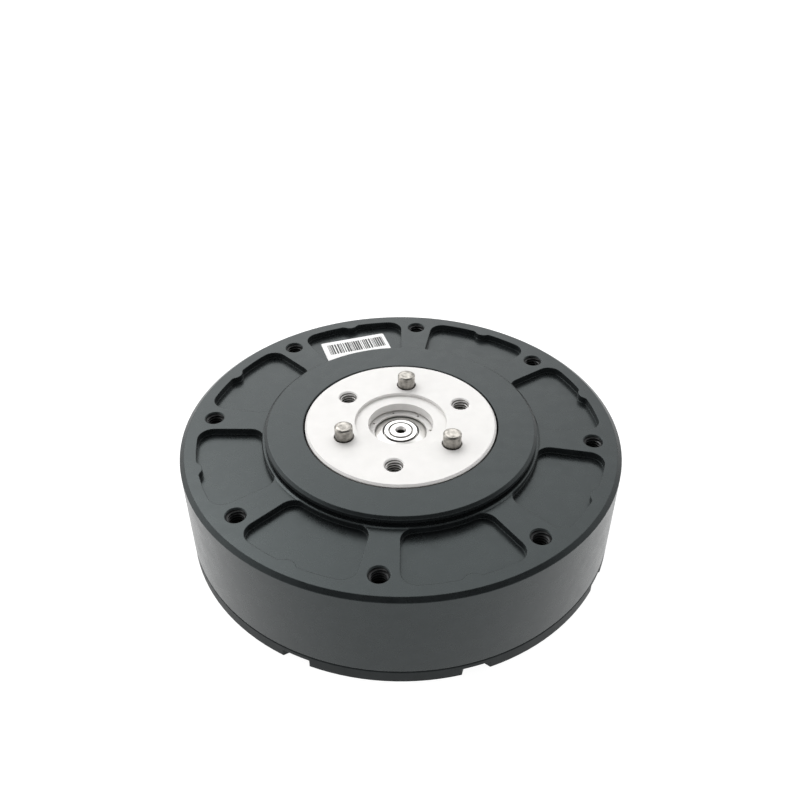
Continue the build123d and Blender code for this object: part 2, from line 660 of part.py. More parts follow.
def rotor_shaft():
    """Steel shaft with a locating collar, a centre hole in front and a magnet pocket behind."""
    tip = SHAFT_TIP_CHAMFER
    shaft = turned(
        (0, SHAFT_LOW), (SHAFT_RADIUS - tip, SHAFT_LOW), (SHAFT_RADIUS, SHAFT_LOW + tip),
        (SHAFT_RADIUS, REAR_BEARING["high"]), (SHAFT_COLLAR_RADIUS, REAR_BEARING["high"]),
        (SHAFT_COLLAR_RADIUS, ROTOR_HUB_LOW), (SHAFT_RADIUS, ROTOR_HUB_LOW),
        (SHAFT_RADIUS, SHAFT_HIGH - tip), (SHAFT_RADIUS - tip, SHAFT_HIGH), (0, SHAFT_HIGH))
    centre_hole = turned(
        (0, SHAFT_HIGH - CENTRE_HOLE_DEPTH - CENTRE_HOLE_CONE),
        (CENTRE_DRILL_RADIUS, SHAFT_HIGH - CENTRE_HOLE_DEPTH),
        (CENTRE_DRILL_RADIUS, SHAFT_HIGH - CENTRE_HOLE_CONE), (CENTRE_HOLE_RADIUS, SHAFT_HIGH),
        (0, SHAFT_HIGH))
    return shaft - centre_hole - disc(ENCODER_MAGNET_RADIUS, SHAFT_LOW, ENCODER_MAGNET_TOP)


def rotor_hub():
    """Dished aluminium disc between the shaft and the flux ring, with lightening holes."""
    hub = turned(
        (SHAFT_RADIUS, ROTOR_HUB_LOW), (ROTOR_DISH_RADIUS, ROTOR_HUB_LOW), (ROTOR_DISH_RADIUS, ROTOR_LOW),
        (ROTOR_RADIUS, ROTOR_LOW), (ROTOR_RADIUS, ROTOR_DISC_TOP), (ROTOR_HUB_RADIUS, ROTOR_DISC_TOP),
        (ROTOR_HUB_RADIUS, ROTOR_HUB_TOP), (SHAFT_RADIUS, ROTOR_HUB_TOP))
    hole = disc(HUB_HOLE_RADIUS, ROTOR_LOW, ROTOR_DISC_TOP)
    return hub - at_each(hole, HUB_HOLE_CIRCLE, evenly(HUB_HOLE_COUNT))


def magnets():
    """Ring of separate magnets inside the flux ring."""
    section = Polyline((MAGNET_INNER, 0, MAGNET_LOW), (FLUX_RING_INNER, 0, MAGNET_LOW),
                       (FLUX_RING_INNER, 0, MAGNET_HIGH), (MAGNET_INNER, 0, MAGNET_HIGH), close=True)
    magnet = revolve(make_face(section), Axis.Z, MAGNET_SPAN)
    return at_each(magnet, 0, evenly(MAGNET_COUNT))


def spacer_shim():
    """Shim on the shaft in front of the centre bearing, relieved round the shaft's end."""
    bore = SHAFT_RADIUS + SHIM_PLAY
    return turned((bore, FRONT_BEARING["high"]), (SHIM_OUTER, FRONT_BEARING["high"]), (SHIM_OUTER, SHIM_TOP),
                  (SHIM_MOUTH, SHIM_TOP), (SHIM_MOUTH, SHIM_STEP), (bore, SHIM_STEP))


# Stator

def tooth_face(inner, outer, width):
    """Flat tooth along the X axis."""
    return Pos((inner + outer) / 2, 0) * Rectangle(outer - inner, width)


def stator_section(with_shoes):
    """Flat section of the stator: yoke, teeth and, on the core, the shoes at the tooth tips."""
    section = Circle(YOKE_OUTER)
    section += at_each(tooth_face(TUBE_OUTER + 1, SHOE_INNER + 0.3, TOOTH_WIDTH), 0, evenly(SLOT_COUNT))
    if with_shoes:
        section += at_each(sector(SHOE_INNER, STATOR_OUTER, SHOE_HALF_ANGLE), 0, evenly(SLOT_COUNT))
    return section - Circle(TUBE_OUTER)


def stator_core():
    """Stack of laminations, drawn as one block."""
    return Pos(0, 0, STATOR_LOW) * extrude(stator_section(True), STATOR_HIGH - STATOR_LOW)


def slot_insulators():
    """Insulating caps on the two ends of the core, set back from the shoulder that holds it."""
    cap = extrude(stator_section(False), INSULATOR_THICKNESS)
    cap -= disc(TUBE_SHOULDER, 0, INSULATOR_THICKNESS)
    return [Pos(0, 0, STATOR_LOW - INSULATOR_THICKNESS) * cap, Pos(0, 0, STATOR_HIGH) * cap]


def coils():
    """One copper coil round each tooth."""
    height = COIL_HIGH - COIL_LOW
    window_height = STATOR_HIGH - STATOR_LOW + 2 * INSULATOR_THICKNESS
    frame = RectangleRounded(COIL_WIDTH, height, COIL_CORNER)
    frame -= Rectangle(TOOTH_WIDTH + 2 * COIL_PLAY, window_height + 2 * COIL_PLAY)
    coil = extrude(Plane.YZ * frame, COIL_OUTER - COIL_INNER)
    centre = (COIL_LOW + COIL_HIGH) / 2
    return at_each(Pos(0, 0, centre) * coil, COIL_INNER, evenly(SLOT_COUNT))


def phase_wires():
    """Three wires from the coils, out over the rotor, down the wall and in to the circuit board."""
    wires = []
    top = COIL_HIGH + WIRE_RADIUS
    low = BOARD_HIGH + WIRE_RADIUS
    route = [(WIRE_START, 0, top), (WIRE_DROP, 0, top), (WIRE_DROP, 0, low), (WIRE_END, 0, low)]
    for offset in WIRE_OFFSETS:
        path = FilletPolyline(*route, radius=WIRE_BEND)
        section = Plane(origin=path @ 0, z_dir=path % 0) * Circle(WIRE_RADIUS)
        wires.append(polar(0, CHANNEL_ANGLE) * Pos(0, offset, 0) * sweep(section, path=path))
    return wires


# Rear

def rear_bearing_plate():
    """Spoked plate that carries the rear bearing. Its skirt is clamped between the housing and the cover."""
    plate = turned(
        (REAR_BEARING["outside"], PLATE_BOSS_LOW), (PLATE_BOSS, PLATE_BOSS_LOW), (PLATE_BOSS, PLATE_LOW),
        (SKIRT_INNER, PLATE_LOW), (SKIRT_INNER, SEAM_Z), (PLATE_RADIUS, SEAM_Z), (PLATE_RADIUS, PLATE_HIGH),
        (PLATE_BOSS, PLATE_HIGH),
        (PLATE_BOSS, PLATE_BOSS_TOP), (PLATE_LIP_BORE, PLATE_BOSS_TOP), (PLATE_LIP_BORE, PLATE_LIP_LOW),
        (REAR_BEARING["outside"], PLATE_LIP_LOW))
    window = extrude(sector(WINDOW_INNER, WINDOW_OUTER, WINDOW_HALF_ANGLE), PLATE_HIGH)
    window = fillet(window.edges().filter_by(Axis.Z), WINDOW_CORNER)
    plate -= at_each(window, 0, evenly(WINDOW_COUNT, CHANNEL_ANGLE))
    slot = radial_block(WIRE_SLOT_INNER, BODY_RADIUS, WIRE_SLOT_WIDTH, SEAM_Z, PLATE_HIGH)
    return plate - polar(0, CHANNEL_ANGLE) * slot


def wave_spring():
    """Preload washer behind the lip of the rear bearing plate, drawn as a flat ring at its fitted height."""
    return tube(SPRING_OUTER, SPRING_INNER, REAR_BEARING["high"], PLATE_LIP_LOW)


def socket_places():
    """Places of the power socket and the two signal sockets, with their length and width."""
    return [(WIDE_LAND_ANGLE, *POWER_SOCKET_SIZE),
            (WIDE_LAND_ANGLE - SIGNAL_SOCKET_TURN, *SIGNAL_SOCKET_SIZE),
            (WIDE_LAND_ANGLE + SIGNAL_SOCKET_TURN, *SIGNAL_SOCKET_SIZE)]


def socket(length, width):
    """Open box socket that hangs under the circuit board."""
    inside = block(width - 2 * SOCKET_WALL, length - 2 * SOCKET_WALL, SOCKET_LOW, BOARD_LOW - SOCKET_WALL)
    return block(width, length, SOCKET_LOW, BOARD_LOW) - inside


def power_socket():
    """Socket for the supply."""
    angle, length, width = socket_places()[0]
    return polar(SOCKET_CIRCLE, angle) * socket(length, width)


def signal_sockets():
    """Sockets for the control signals."""
    places = socket_places()[1:]
    return [polar(SOCKET_CIRCLE, angle) * socket(length, width) for angle, length, width in places]


def socket_contacts():
    """Contact pins inside the sockets: two thick ones for power, four thin ones for each signal socket."""
    contacts = []
    for angle, length, width in socket_places():
        count, radius = (2, 1.1) if length == POWER_SOCKET_SIZE[0] else (4, 0.3)
        contact = disc(radius, CONTACT_LOW, BOARD_LOW - SOCKET_WALL)
        pitch = (length - CONTACT_MARGIN) / count
        for k in range(count):
            offset = (k - (count - 1) / 2) * pitch
            contacts.append(polar(SOCKET_CIRCLE, angle) * Pos(0, offset, 0) * contact)
    return contacts


def notch():
    """Cutter for one edge notch, which widens outwards."""
    outside = BODY_RADIUS + 1
    mouth = NOTCH_WIDTH / 2 + (outside - BODY_RADIUS) * math.tan(NOTCH_FLARE)
    floor = NOTCH_WIDTH / 2 - (BODY_RADIUS - NOTCH_FLOOR_RADIUS) * math.tan(NOTCH_FLARE)
    outline = Polyline((NOTCH_FLOOR_RADIUS, -floor), (outside, -mouth), (outside, mouth),
                       (NOTCH_FLOOR_RADIUS, floor), close=True)
    return extrude(make_face(outline), NOTCH_HEIGHT)


def rear_cover():
    """Rear cover with a notched edge, board standoffs and socket windows."""
    cover = turned(
        (0, 0), (COVER_RECESS_INNER, 0), (COVER_RECESS_INNER, COVER_RECESS_DEPTH),
        (COVER_RECESS_OUTER, COVER_RECESS_DEPTH), (COVER_RECESS_OUTER, 0), (BODY_RADIUS - COVER_EDGE, 0),
        (BODY_RADIUS, COVER_EDGE), (BODY_RADIUS, SEAM_Z - SEAM_CHAMFER), (BODY_RADIUS - SEAM_CHAMFER, SEAM_Z),
        (SKIRT_INNER, SEAM_Z), (SKIRT_INNER, COVER_FLOOR), (0, COVER_FLOOR))
    cover -= at_each(notch(), 0, NOTCH_ANGLES)
    cover -= at_each(countersink(0, SEAM_Z), COVER_SCREW_CIRCLE, LAND_ANGLES)
    cover += at_each(disc(STANDOFF_RADIUS, COVER_FLOOR, BOARD_LOW), BOARD_SCREW_CIRCLE, BOARD_SCREW_ANGLES)
    screw_hole = disc(M2_RADIUS, BOARD_SCREW_LOW, BOARD_LOW)
    cover -= at_each(screw_hole, BOARD_SCREW_CIRCLE, BOARD_SCREW_ANGLES)
    for angle, length, width in socket_places():
        window = block(width + SOCKET_PLAY, length + SOCKET_PLAY, 0, COVER_FLOOR)
        cover -= polar(SOCKET_CIRCLE, angle) * window
    return cover


def cover_screws():
    """Countersunk screws that hold the rear cover."""
    return at_each(countersunk_screw(0, COVER_SCREW_TOP), COVER_SCREW_CIRCLE, LAND_ANGLES)


def circuit_board():
    """Round driver board."""
    board = disc(BOARD_RADIUS, BOARD_LOW, BOARD_HIGH)
    return board - at_each(disc(M2_RADIUS, BOARD_LOW, BOARD_HIGH), BOARD_SCREW_CIRCLE, BOARD_SCREW_ANGLES)


def board_screws():
    """Pan-head screws that hold the circuit board."""
    head_top = BOARD_HIGH + BOARD_SCREW_HEAD
    socket_depth = BOARD_SCREW_HEAD / 2
    screw = disc(M2_HEAD_RADIUS, BOARD_HIGH, head_top) + disc(M2_RADIUS, BOARD_SCREW_LOW, BOARD_HIGH)
    socket_shape = extrude(RegularPolygon(SCREW_SOCKET_RADIUS, 6), socket_depth)
    screw -= Pos(0, 0, head_top - socket_depth) * socket_shape
    return at_each(screw, BOARD_SCREW_CIRCLE, BOARD_SCREW_ANGLES)


def power_transistors():
    """Two transistors for each motor phase."""
    chip = block(6.0, 5.0, BOARD_HIGH, BOARD_HIGH + CHIP_HEIGHT)
    return at_each(chip, TRANSISTOR_CIRCLE, evenly(6, CHANNEL_ANGLE + 10))


def capacitors():
    """Supply capacitors under the windows of the bearing plate."""
    can = disc(CAPACITOR_RADIUS, BOARD_HIGH, BOARD_HIGH + CAPACITOR_HEIGHT)
    return at_each(can, CAPACITOR_CIRCLE, evenly(WINDOW_COUNT, CHANNEL_ANGLE))


def control_chips():
    """Controller and gate driver."""
    top = BOARD_HIGH + CHIP_HEIGHT
    controller = polar(CHIP_CIRCLE, CHANNEL_ANGLE + 90) * block(8.0, 8.0, BOARD_HIGH, top)
    driver = polar(CHIP_CIRCLE, CHANNEL_ANGLE + 210) * block(6.0, 6.0, BOARD_HIGH, top)
    return [controller, driver]


def encoder_chip():
    """Angle sensor under the end of the shaft."""
    return block(4.0, 4.0, BOARD_HIGH, BOARD_HIGH + CHIP_HEIGHT / 2)


NODES = {
    "front_housing": front_housing,
    "inner_tube": inner_tube,
    "bearing_retainer": bearing_retainer,
    "barcode_label": barcode_label,
    "ring_gear": ring_gear,
    "output_bearing_outer_race": lambda: outer_race(OUTPUT_BEARING),
    "output_bearing_seal": output_bearing_seal,
    "output_bearing_balls": lambda: balls(OUTPUT_BEARING),
    "output_bearing_cage": lambda: ball_cage(OUTPUT_BEARING),
    "output_bearing_inner_race": lambda: inner_race(OUTPUT_BEARING),
    "output_flange": output_flange,
    "drive_pins": drive_pins,
    "carrier_plate": carrier_plate,
    "carrier_screws": carrier_screws,
    "planet_washers": planet_washers,
    "front_bearing_outer_race": front_bearing_outer_race,
    "front_bearing_shield": front_bearing_shield,
    "front_bearing_balls": lambda: balls(FRONT_BEARING),
    "front_bearing_cage": lambda: ball_cage(FRONT_BEARING),
    "front_bearing_inner_race": lambda: inner_race(FRONT_BEARING),
    "bearing_lock_ring": bearing_lock_ring,
    "spacer_shim": spacer_shim,
    "rotor_shaft": rotor_shaft,
    "sun_gear": sun_gear,
    "rotor_hub": rotor_hub,
    "flux_ring": lambda: tube(ROTOR_RADIUS, FLUX_RING_INNER, ROTOR_DISC_TOP, ROTOR_HIGH),
    "magnets": magnets,
    "encoder_magnet": lambda: disc(ENCODER_MAGNET_RADIUS, SHAFT_LOW, ENCODER_MAGNET_TOP),
    "stator_core": stator_core,
    "slot_insulators": slot_insulators,
    "coils": coils,
    "phase_wires": phase_wires,
    "rear_bearing_plate": rear_bearing_plate,
    "rear_bearing_outer_race": lambda: outer_race(REAR_BEARING),
    "rear_bearing_balls": lambda: balls(REAR_BEARING),
    "rear_bearing_cage": lambda: ball_cage(REAR_BEARING),
    "rear_bearing_inner_race": lambda: inner_race(REAR_BEARING),
    "wave_spring": wave_spring,
    "circuit_board": circuit_board,
    "board_screws": board_screws,
    "power_transistors": power_transistors,
    "capacitors": capacitors,
    "control_chips": control_chips,
    "encoder_chip": encoder_chip,
    "power_socket": power_socket,
    "signal_sockets": signal_sockets,
    "socket_contacts": socket_contacts,
    "rear_cover": rear_cover,
    "cover_screws": cover_screws,
}
for number, pin_angle in enumerate(PIN_ANGLES, start=1):
    NODES[f"planet_gear_{number}"] = lambda angle=pin_angle: planet_gear(angle)
    NODES[f"planet_bush_{number}"] = lambda angle=pin_angle: planet_bush(angle)

os.makedirs("parts", exist_ok=True)
for node, make in NODES.items():
    made = make()
    shape = Compound(children=made) if isinstance(made, list) else made
    export_step(shape, f"parts/{node}.step")
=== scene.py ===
import json
import math

import bmesh
import bpy
from mathutils import Matrix, Vector

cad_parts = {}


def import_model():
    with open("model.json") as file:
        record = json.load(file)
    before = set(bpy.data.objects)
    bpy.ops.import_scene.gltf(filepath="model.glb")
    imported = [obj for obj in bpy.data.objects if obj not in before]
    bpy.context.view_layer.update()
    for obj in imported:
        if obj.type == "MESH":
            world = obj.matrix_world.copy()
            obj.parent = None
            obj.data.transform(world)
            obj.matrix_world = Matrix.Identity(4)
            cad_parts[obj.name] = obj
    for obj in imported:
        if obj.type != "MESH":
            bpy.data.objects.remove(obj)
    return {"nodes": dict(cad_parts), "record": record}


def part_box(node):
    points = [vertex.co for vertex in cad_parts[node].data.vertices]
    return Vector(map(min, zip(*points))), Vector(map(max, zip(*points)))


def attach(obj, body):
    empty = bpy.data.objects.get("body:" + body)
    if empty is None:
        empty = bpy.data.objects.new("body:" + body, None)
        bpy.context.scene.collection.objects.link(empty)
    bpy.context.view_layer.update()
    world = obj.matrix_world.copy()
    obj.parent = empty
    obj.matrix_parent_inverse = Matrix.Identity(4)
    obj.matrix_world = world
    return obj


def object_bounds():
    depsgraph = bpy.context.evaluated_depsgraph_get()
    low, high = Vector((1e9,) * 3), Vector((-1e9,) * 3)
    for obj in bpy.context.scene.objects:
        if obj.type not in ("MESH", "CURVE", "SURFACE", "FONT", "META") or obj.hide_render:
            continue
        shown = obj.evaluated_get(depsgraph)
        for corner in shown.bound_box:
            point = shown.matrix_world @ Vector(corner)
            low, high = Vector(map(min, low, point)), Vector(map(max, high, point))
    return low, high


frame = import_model()
cad_low, cad_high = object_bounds()

MM = 0.001
RANGE_ENDS = ("From Min", "From Max", "To Min", "To Max")
RECORD = frame["record"]
NODES = frame["nodes"]
MOUNTS = {mount["name"]: mount for mount in RECORD["mounts"]}
SLOT_OF = {part["node"]: part["material_slot"] for part in RECORD["subparts"]}


# Material building blocks

class Recipe:
    """One node material: a Principled shader with procedural colour, roughness and relief."""

    def __init__(self, name, colour, roughness, metallic=0.0, **fixed):
        self.material = bpy.data.materials.new(name)
        self.material.use_nodes = True
        self.tree = self.material.node_tree
        self.shader = self.tree.nodes["Principled BSDF"]
        self.shader.inputs["Base Color"].default_value = (*colour, 1)
        self.shader.inputs["Roughness"].default_value = roughness
        self.shader.inputs["Metallic"].default_value = metallic
        for socket, value in fixed.items():
            self.shader.inputs[socket.replace("_", " ")].default_value = value
        self.colour = colour
        self.roughness = roughness
        self.tint = None
        self.normal = None
        self.edge_normal = None

    def node(self, kind, **settings):
        """A new shader node, with its sockets and settings filled in."""
        made = self.tree.nodes.new(kind)
        for key, value in settings.items():
            if key in made.inputs:
                made.inputs[key].default_value = value
            else:
                setattr(made, key, value)
        return made

    def link(self, source, target):
        self.tree.links.new(source, target)

    def place(self, stretch=(1, 1, 1)):
        """Position on the piece, in millimetres, stretched along its axes."""
        coords = self.node("ShaderNodeTexCoord")
        mapping = self.node("ShaderNodeMapping")
        mapping.inputs["Scale"].default_value = [1000 * s for s in stretch]
        self.link(coords.outputs["Object"], mapping.inputs["Vector"])
        return mapping.outputs["Vector"]

    def noise(self, size_mm, detail=3.0, stretch=(1, 1, 1), where=None):
        """Soft noise with grains of about the given size."""
        noise = self.node("ShaderNodeTexNoise", Scale=1 / size_mm, Detail=detail)
        self.link(where or self.place(stretch), noise.inputs["Vector"])
        return noise.outputs["Fac"]

    def spread(self, value, low, high, from_low=0.3, from_high=0.7):
        """The value mapped from its usual range to low .. high."""
        mapped = self.node("ShaderNodeMapRange")
        for key, number in zip(RANGE_ENDS, (from_low, from_high, low, high)):
            mapped.inputs[key].default_value = number
        self.link(value, mapped.inputs["Value"])
        return mapped.outputs["Result"]

    def mix_colour(self, factor, low, high):
        """Colour between two colours, each of them fixed or taken from a node."""
        mix = self.node("ShaderNodeMix", data_type="RGBA")
        self.link(factor, mix.inputs["Factor"])
        for name, value in (("A", low), ("B", high)):
            socket = [s for s in mix.inputs if s.name == name and s.type == "RGBA"][0]
            if hasattr(value, "links"):
                self.link(value, socket)
            else:
                socket.default_value = (*value, 1)
        return [s for s in mix.outputs if s.type == "RGBA"][0]

    def mottle(self, size_mm, amount):
        """Base colour that drifts by the amount over patches of the given size."""
        low = [c * (1 - amount) for c in self.colour]
        high = [c * (1 + amount) for c in self.colour]
        factor = self.spread(self.noise(size_mm), 0, 1)
        self.tint = self.mix_colour(factor, low, high)
        self.link(self.tint, self.shader.inputs["Base Color"])

    def vary_roughness(self, size_mm, amount, stretch=(1, 1, 1)):
        """Roughness that drifts by the amount over patches of the given size."""
        rough = self.spread(self.noise(size_mm, 4.0, stretch),
                            self.roughness - amount, self.roughness + amount)
        self.link(rough, self.shader.inputs["Roughness"])

    def relief(self, height, depth_mm):
        """Bump of a given depth, stacked on any bump there is."""
        bump = self.node("ShaderNodeBump", Strength=1.0, Distance=depth_mm * MM)
        self.link(height, bump.inputs["Height"])
        if self.normal is not None:
            self.link(self.normal, bump.inputs["Normal"])
        self.normal = bump.outputs["Normal"]
        self.link(self.normal, self.shader.inputs["Normal"])

    def soft_edges(self, radius_mm):
        """Shading as if every edge were broken by a small radius."""
        bevel = self.node("ShaderNodeBevel", samples=6)
        bevel.inputs["Radius"].default_value = radius_mm * MM
        self.edge_normal = bevel.outputs["Normal"]
        self.normal = self.edge_normal
        self.link(self.normal, self.shader.inputs["Normal"])

    def painted_crevice_shade(self, reach_mm, depth, colour=(0.03, 0.027, 0.022)):
        """Painted shade: the base colour darkened towards the given colour where other surfaces stand
        close.
        """
        occlusion = self.node("ShaderNodeAmbientOcclusion", samples=8)
        occlusion.inputs["Distance"].default_value = reach_mm * MM
        unshaded = self.spread(occlusion.outputs["AO"], 1 - depth, 1.0, 0.15, 0.85)
        self.tint = self.mix_colour(unshaded, colour, self.tint)
        self.link(self.tint, self.shader.inputs["Base Color"])

    def worn_edges(self, colour, amount):
        """Edges rubbed towards a lighter colour."""
        geometry = self.node("ShaderNodeNewGeometry")
        dot = self.node("ShaderNodeVectorMath", operation="DOT_PRODUCT")
        self.link(self.edge_normal, dot.inputs[0])
        self.link(geometry.outputs["Normal"], dot.inputs[1])
        edge = self.spread(dot.outputs["Value"], amount, 0.0, 0.75, 0.99)
        self.tint = self.mix_colour(edge, self.tint, colour)
        self.link(self.tint, self.shader.inputs["Base Color"])


def radial_place(recipe):
    """Radius and angle about Z in place of X and Y, in millimetres, for turned and brushed surfaces."""
    position = recipe.place()
    split = recipe.node("ShaderNodeSeparateXYZ")
    recipe.link(position, split.inputs[0])
    length = recipe.node("ShaderNodeVectorMath", operation="LENGTH")
    flat = recipe.node("ShaderNodeVectorMath", operation="MULTIPLY")
    flat.inputs[1].default_value = (1, 1, 0)
    recipe.link(position, flat.inputs[0])
    recipe.link(flat.outputs["Vector"], length.inputs[0])
    angle = recipe.node("ShaderNodeMath", operation="ARCTAN2")
    recipe.link(split.outputs["Y"], angle.inputs[0])
    recipe.link(split.outputs["X"], angle.inputs[1])
    joined = recipe.node("ShaderNodeCombineXYZ")
    recipe.link(length.outputs["Value"], joined.inputs["X"])
    recipe.link(angle.outputs["Value"], joined.inputs["Y"])
    recipe.link(split.outputs["Z"], joined.inputs["Z"])
    return joined.outputs["Vector"]


# Finishes

def black_anodised(name, roughness=0.28, ior=1.43):
    """Bead-blasted aluminium with a dyed oxide layer: dark, with a satin clear surface."""
    recipe = Recipe(name, (0.0092, 0.0106, 0.0113), roughness, IOR=ior, Specular_Tint=(0.87, 1.0, 1.01, 1))
    recipe.soft_edges(0.22)
    recipe.mottle(2.6, 0.2)
    recipe.worn_edges((0.05, 0.054, 0.056), 0.2)
    recipe.vary_roughness(3.0, 0.03)
    recipe.relief(recipe.noise(0.3, 3.0), 0.004)
    return recipe.material


def silver_anodised(name):
    """Finely blasted aluminium under a clear oxide layer."""
    recipe = Recipe(name, (0.745, 0.735, 0.72), 0.58, metallic=0.12)
    recipe.soft_edges(0.08)
    recipe.mottle(3.0, 0.02)
    # painted shade: darker, brownish grey where other surfaces stand close
    recipe.painted_crevice_shade(0.7, 0.35, (0.3, 0.27, 0.23))
    recipe.vary_roughness(2.0, 0.05)
    recipe.relief(recipe.noise(0.12, 2.0), 0.003)
    return recipe.material


def cut_thread(name, crest, root):
    """Freshly cut thread, light along its crest, with painted shade darkening it towards the root colour in
    its root.
    """
    recipe = Recipe(name, crest, 0.4, metallic=0.4)
    recipe.mottle(0.6, 0.06)
    height = recipe.node("ShaderNodeAttribute", attribute_name="crest")
    # painted shade: colour runs from the root colour at the thread's foot to the crest colour
    outside_root_shade = recipe.spread(height.outputs["Fac"], 0, 1, 0.35, 0.9)
    recipe.tint = recipe.mix_colour(outside_root_shade, root, recipe.tint)
    recipe.link(recipe.tint, recipe.shader.inputs["Base Color"])
    recipe.vary_roughness(0.4, 0.08)
    recipe.relief(recipe.noise(0.15, 2.0), 0.002)
    return recipe.material


def metal(name, colour, roughness, grain_mm=0.3, grain_depth=0.002, stretch=(1, 1, 1), patches=0.08):
    """Bare metal with a fine grain, stretched along the way it was worked."""
    recipe = Recipe(name, colour, roughness, metallic=1.0)
    recipe.soft_edges(0.06)
    recipe.mottle(grain_mm * 3, patches)
    # painted shade: darker where other surfaces stand close
    recipe.painted_crevice_shade(0.8, 0.6)
    recipe.vary_roughness(grain_mm * 2, 0.06, stretch)
    recipe.relief(recipe.noise(grain_mm, 3.0, stretch), grain_depth)
    return recipe.material


def turned_metal(name, colour, roughness, pitch_mm=0.12, depth_mm=0.002, shade_reach=0.7):
    """Metal turned on a lathe about Z: fine rings that differ a little in height and gloss."""
    recipe = Recipe(name, colour, roughness, metallic=1.0)
    recipe.soft_edges(0.06)
    recipe.mottle(4.0, 0.05)
    # painted shade: strongly darker where other surfaces stand close, within shade_reach
    recipe.painted_crevice_shade(shade_reach, 0.92)
    around = radial_place(recipe)
    squeeze = recipe.node("ShaderNodeMapping")
    squeeze.inputs["Scale"].default_value = (1, 0.15, 1)
    recipe.link(around, squeeze.inputs["Vector"])
    rings = recipe.noise(pitch_mm, 2.0, where=squeeze.outputs["Vector"])
    recipe.link(recipe.spread(rings, roughness - 0.06, roughness + 0.08), recipe.shader.inputs["Roughness"])
    recipe.relief(rings, depth_mm)
    return recipe.material


def plastic(name, colour, roughness, grain_mm=0.2, grain_depth=0.004, edge=0.08):
    """Moulded plastic, rubber, lacquer or ink with a fine surface texture."""
    recipe = Recipe(name, colour, roughness)
    recipe.soft_edges(edge)
    recipe.mottle(1.8, 0.1)
    recipe.vary_roughness(1.2, 0.05)
    recipe.relief(recipe.noise(grain_mm, 2.0), grain_depth)
    return recipe.material


def laminated(name, colour, roughness):
    """Stack of thin sheets: fine lines at right angles to Z."""
    recipe = Recipe(name, colour, roughness, metallic=1.0)
    recipe.soft_edges(0.05)
    recipe.mottle(2.0, 0.12)
    sheets = recipe.node("ShaderNodeTexWave", bands_direction="Z", Scale=0.9, Distortion=0.3)
    recipe.link(recipe.place(), sheets.inputs["Vector"])
    recipe.relief(sheets.outputs["Fac"], 0.02)
    return recipe.material


def wound_copper(name, colour):
    """Enamelled wire laid side by side."""
    recipe = Recipe(name, colour, 0.28, metallic=0.9, Coat_Weight=0.6, Coat_Roughness=0.15)
    recipe.soft_edges(0.1)
    recipe.mottle(1.2, 0.14)
    turns = recipe.node("ShaderNodeTexWave", bands_direction="X", Scale=0.6, Distortion=0.8)
    recipe.link(radial_place(recipe), turns.inputs["Vector"])
    recipe.relief(turns.outputs["Fac"], 0.08)
    return recipe.material


def paper(name, colour):
    """Coated label paper with a faint fibre."""
    recipe = Recipe(name, colour, 0.55)
    recipe.mottle(0.8, 0.02)
    recipe.vary_roughness(0.5, 0.06)
    recipe.relief(recipe.noise(0.25, 4.0), 0.004)
    return recipe.material


FINISHES = {
    "black_anodised": black_anodised,
    "silver_anodised": silver_anodised,
    "bare_aluminium": lambda name: turned_metal(name, (0.72, 0.73, 0.74), 0.34),
    "pin_steel": lambda name: metal(name, (0.33, 0.315, 0.29), 0.32, 0.35, 0.05, patches=0.45),
    "gear_steel": lambda name: metal(name, (0.45, 0.45, 0.46), 0.36, 0.3, 0.004, (1, 1, 0.2)),
    "bearing_steel": lambda name: turned_metal(name, (0.74, 0.735, 0.72), 0.3),
    "polished_steel": lambda name: metal(name, (0.8, 0.8, 0.8), 0.08, 0.6, 0.0004),
    "pressed_steel": lambda name: turned_metal(name, (0.74, 0.73, 0.71), 0.36),
    "black_screw_steel": lambda name: metal(name, (0.06, 0.06, 0.065), 0.42, 0.2, 0.004),
    "nickel_plated_steel": lambda name: metal(name, (0.8, 0.79, 0.77), 0.3, 0.5, 0.002),
    "lamination_steel": lambda name: laminated(name, (0.33, 0.33, 0.35), 0.45),
    "bronze": lambda name: metal(name, (0.6, 0.42, 0.2), 0.42, 0.15, 0.006),
    "enamelled_copper": lambda name: wound_copper(name, (0.6, 0.25, 0.11)),
    "gold_contact": lambda name: metal(name, (0.83, 0.62, 0.25), 0.22, 0.3, 0.001),
    "seal_rubber": lambda name: plastic(name, (0.03, 0.03, 0.03), 0.7, 0.12, 0.006),
    "wire_sleeve": lambda name: plastic(name, (0.5, 0.06, 0.04), 0.4, 0.5, 0.003),
    "insulator_plastic": lambda name: plastic(name, (0.1, 0.22, 0.12), 0.5),
    "board_green": lambda name: plastic(name, (0.03, 0.2, 0.09), 0.32, 0.6, 0.006),
    "chip_black": lambda name: plastic(name, (0.03, 0.03, 0.03), 0.6, 0.1, 0.004),
    "capacitor_can": lambda name: metal(name, (0.7, 0.7, 0.72), 0.3, 0.4, 0.002),
    "socket_plastic": lambda name: plastic(name, (0.75, 0.72, 0.62), 0.45),
    "label_paper": lambda name: paper(name, (0.93, 0.93, 0.92)),
}
MATERIALS = {slot: make(slot) for slot, make in FINISHES.items()}
OWN_MATERIALS = {
    "rear_cover": black_anodised("cover_black", 0.48, 1.26),
    # shaft: painted shade reaching 2.2 mm from nearby surfaces, darkening the bore
    "rotor_shaft": turned_metal("shaft_steel", (0.72, 0.705, 0.69), 0.34, shade_reach=2.2),
}


def dress_nodes():
    """Gives every CAD node the material of its slot, or its own variant of it."""
    for name, node in NODES.items():
        node.data.materials.clear()
        node.data.materials.append(OWN_MATERIALS.get(name, MATERIALS[SLOT_OF[name]]))


# Added pieces

def add_piece(name, mesh, body, material):
    """A new visible piece that rides on a body."""
    piece = bpy.data.objects.new(name, mesh)
    bpy.context.scene.collection.objects.link(piece)
    mesh.materials.append(material)
    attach(piece, body)
    return piece


def mesh_from(name, corners, faces):
    """A flat-shaded mesh."""
    mesh = bpy.data.meshes.new(name)
    mesh.from_pydata(corners, [], faces)
    mesh.validate()
    mesh.shade_flat()
    return mesh


